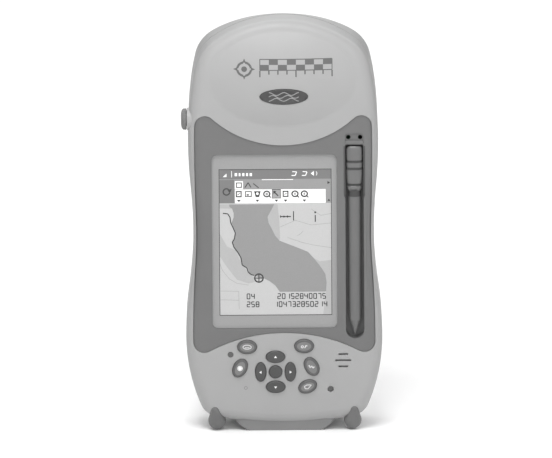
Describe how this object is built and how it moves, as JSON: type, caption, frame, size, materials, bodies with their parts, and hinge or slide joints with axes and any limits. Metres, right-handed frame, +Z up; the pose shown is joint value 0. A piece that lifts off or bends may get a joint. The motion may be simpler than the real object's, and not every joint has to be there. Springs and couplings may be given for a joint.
{
  "type": "field data collector",
  "caption": "Handheld field data collector with a domed receiver head, portrait touch screen, oval keypad, stylus in a side channel, capped antenna port and rubber feet.",
  "frame": {"origin": "centre of the flat underside of the base plate, on which the part stands upright", "axes": "+Z up along the casing's length, +X to the right seen from the front, +Y toward the back; the screen faces -Y"},
  "size_m": [0.1024, 0.0634, 0.2134],
  "materials": {
    "case_grey": "satin",
    "bezel_grey": "satin",
    "seal_rubber": "matte",
    "mask_print": "gloss",
    "panel_glass": "clear",
    "display_face": "gloss",
    "sheet_metal": "brushed",
    "screw_steel": "satin",
    "board_resin": "satin",
    "chip_resin": "matte",
    "key_light": "satin",
    "key_dark": "satin",
    "mat_rubber": "matte",
    "lens_clear": "gloss",
    "patch_ceramic": "matte",
    "jack_brass": "satin",
    "lead_jacket": "matte",
    "cell_wrap": "satin",
    "base_plastic": "satin",
    "foot_rubber": "matte",
    "pen_plastic": "satin",
    "badge_plastic": "gloss",
    "label_film": "matte"
  },
  "bodies": {
    "case": {"front_housing": "case_grey", "rear_housing": "case_grey", "battery_cover": "case_grey", "bezel": "bezel_grey", "tether_bar": "bezel_grey", "housing_gasket": "seal_rubber", "screen_mask": "mask_print", "touch_panel": "panel_glass", "lcd_module": "display_face", "display_frame": "sheet_metal", "keypad_mat": "mat_rubber", "keypad_board": "board_resin", "status_lens": "lens_clear", "microphone": "sheet_metal", "microphone_mesh": "sheet_metal", "speaker": "sheet_metal", "speaker_mesh": "sheet_metal", "main_board": "board_resin", "processor": "chip_resin", "memory_chip": "chip_resin", "board_link": "chip_resin", "receiver_board": "board_resin", "shield_can": "sheet_metal", "antenna_patch": "patch_ceramic", "antenna_plate": "sheet_metal", "antenna_lead": "lead_jacket", "antenna_jack": "jack_brass", "cap_anchor": "seal_rubber", "battery_pack": "cell_wrap", "cover_screws": "screw_steel", "case_screws": "screw_steel", "board_screws": "screw_steel", "foot_studs": "screw_steel", "coin_cell": "sheet_metal", "dock_connector": "chip_resin", "base_plate": "base_plastic", "foot_left": "foot_rubber", "foot_right": "foot_rubber", "badge": "badge_plastic", "rear_label": "label_film"},
    "key_up_left_button": {"key_up_left": "key_light"},
    "key_up_right_button": {"key_up_right": "key_light"},
    "key_left_button": {"key_left": "key_light"},
    "key_right_button": {"key_right": "key_light"},
    "key_low_right_button": {"key_low_right": "key_dark"},
    "nav_up_button": {"nav_up": "key_dark"},
    "nav_down_button": {"nav_down": "key_dark"},
    "nav_left_button": {"nav_left": "key_dark"},
    "nav_right_button": {"nav_right": "key_dark"},
    "nav_centre_button": {"nav_centre": "key_dark"},
    "stylus": {"stylus_barrel": "pen_plastic", "stylus_band": "pen_plastic", "stylus_grip": "pen_plastic", "stylus_tip": "pen_plastic"},
    "port_cap": {"antenna_cap": "seal_rubber"}
  },
  "joints": [
    {"name": "key_up_left_press", "type": "slide", "parent": "case", "child": "key_up_left_button", "axis": [0, 1, 0], "range_m": [0, 0.0008], "stiffness_N_per_m": 900, "springref_m": -0.0006},
    {"name": "key_up_right_press", "type": "slide", "parent": "case", "child": "key_up_right_button", "axis": [0, 1, 0], "range_m": [0, 0.0008], "stiffness_N_per_m": 900, "springref_m": -0.0006},
    {"name": "key_left_press", "type": "slide", "parent": "case", "child": "key_left_button", "axis": [0, 1, 0], "range_m": [0, 0.0008], "stiffness_N_per_m": 900, "springref_m": -0.0006},
    {"name": "key_right_press", "type": "slide", "parent": "case", "child": "key_right_button", "axis": [0, 1, 0], "range_m": [0, 0.0008], "stiffness_N_per_m": 900, "springref_m": -0.0006},
    {"name": "key_low_right_press", "type": "slide", "parent": "case", "child": "key_low_right_button", "axis": [0, 1, 0], "range_m": [0, 0.0008], "stiffness_N_per_m": 900, "springref_m": -0.0006},
    {"name": "nav_up_press", "type": "slide", "parent": "case", "child": "nav_up_button", "axis": [0, 1, 0], "range_m": [0, 0.0008], "stiffness_N_per_m": 900, "springref_m": -0.0006},
    {"name": "nav_down_press", "type": "slide", "parent": "case", "child": "nav_down_button", "axis": [0, 1, 0], "range_m": [0, 0.0008], "stiffness_N_per_m": 900, "springref_m": -0.0006},
    {"name": "nav_left_press", "type": "slide", "parent": "case", "child": "nav_left_button", "axis": [0, 1, 0], "range_m": [0, 0.0008], "stiffness_N_per_m": 900, "springref_m": -0.0006},
    {"name": "nav_right_press", "type": "slide", "parent": "case", "child": "nav_right_button", "axis": [0, 1, 0], "range_m": [0, 0.0008], "stiffness_N_per_m": 900, "springref_m": -0.0006},
    {"name": "nav_centre_press", "type": "slide", "parent": "case", "child": "nav_centre_button", "axis": [0, 1, 0], "range_m": [0, 0.0008], "stiffness_N_per_m": 900, "springref_m": -0.0006},
    {"name": "stylus_lift", "type": "slide", "parent": "case", "child": "stylus", "axis": [0, -1, 0], "range_m": [0, 0.016]},
    {"name": "port_cap_hinge", "type": "hinge", "parent": "case", "child": "port_cap", "pos_m": [-0.0504, -0.007, 0.1626], "axis": [0, 0, -1], "range_deg": [0, 110]}
  ]
}
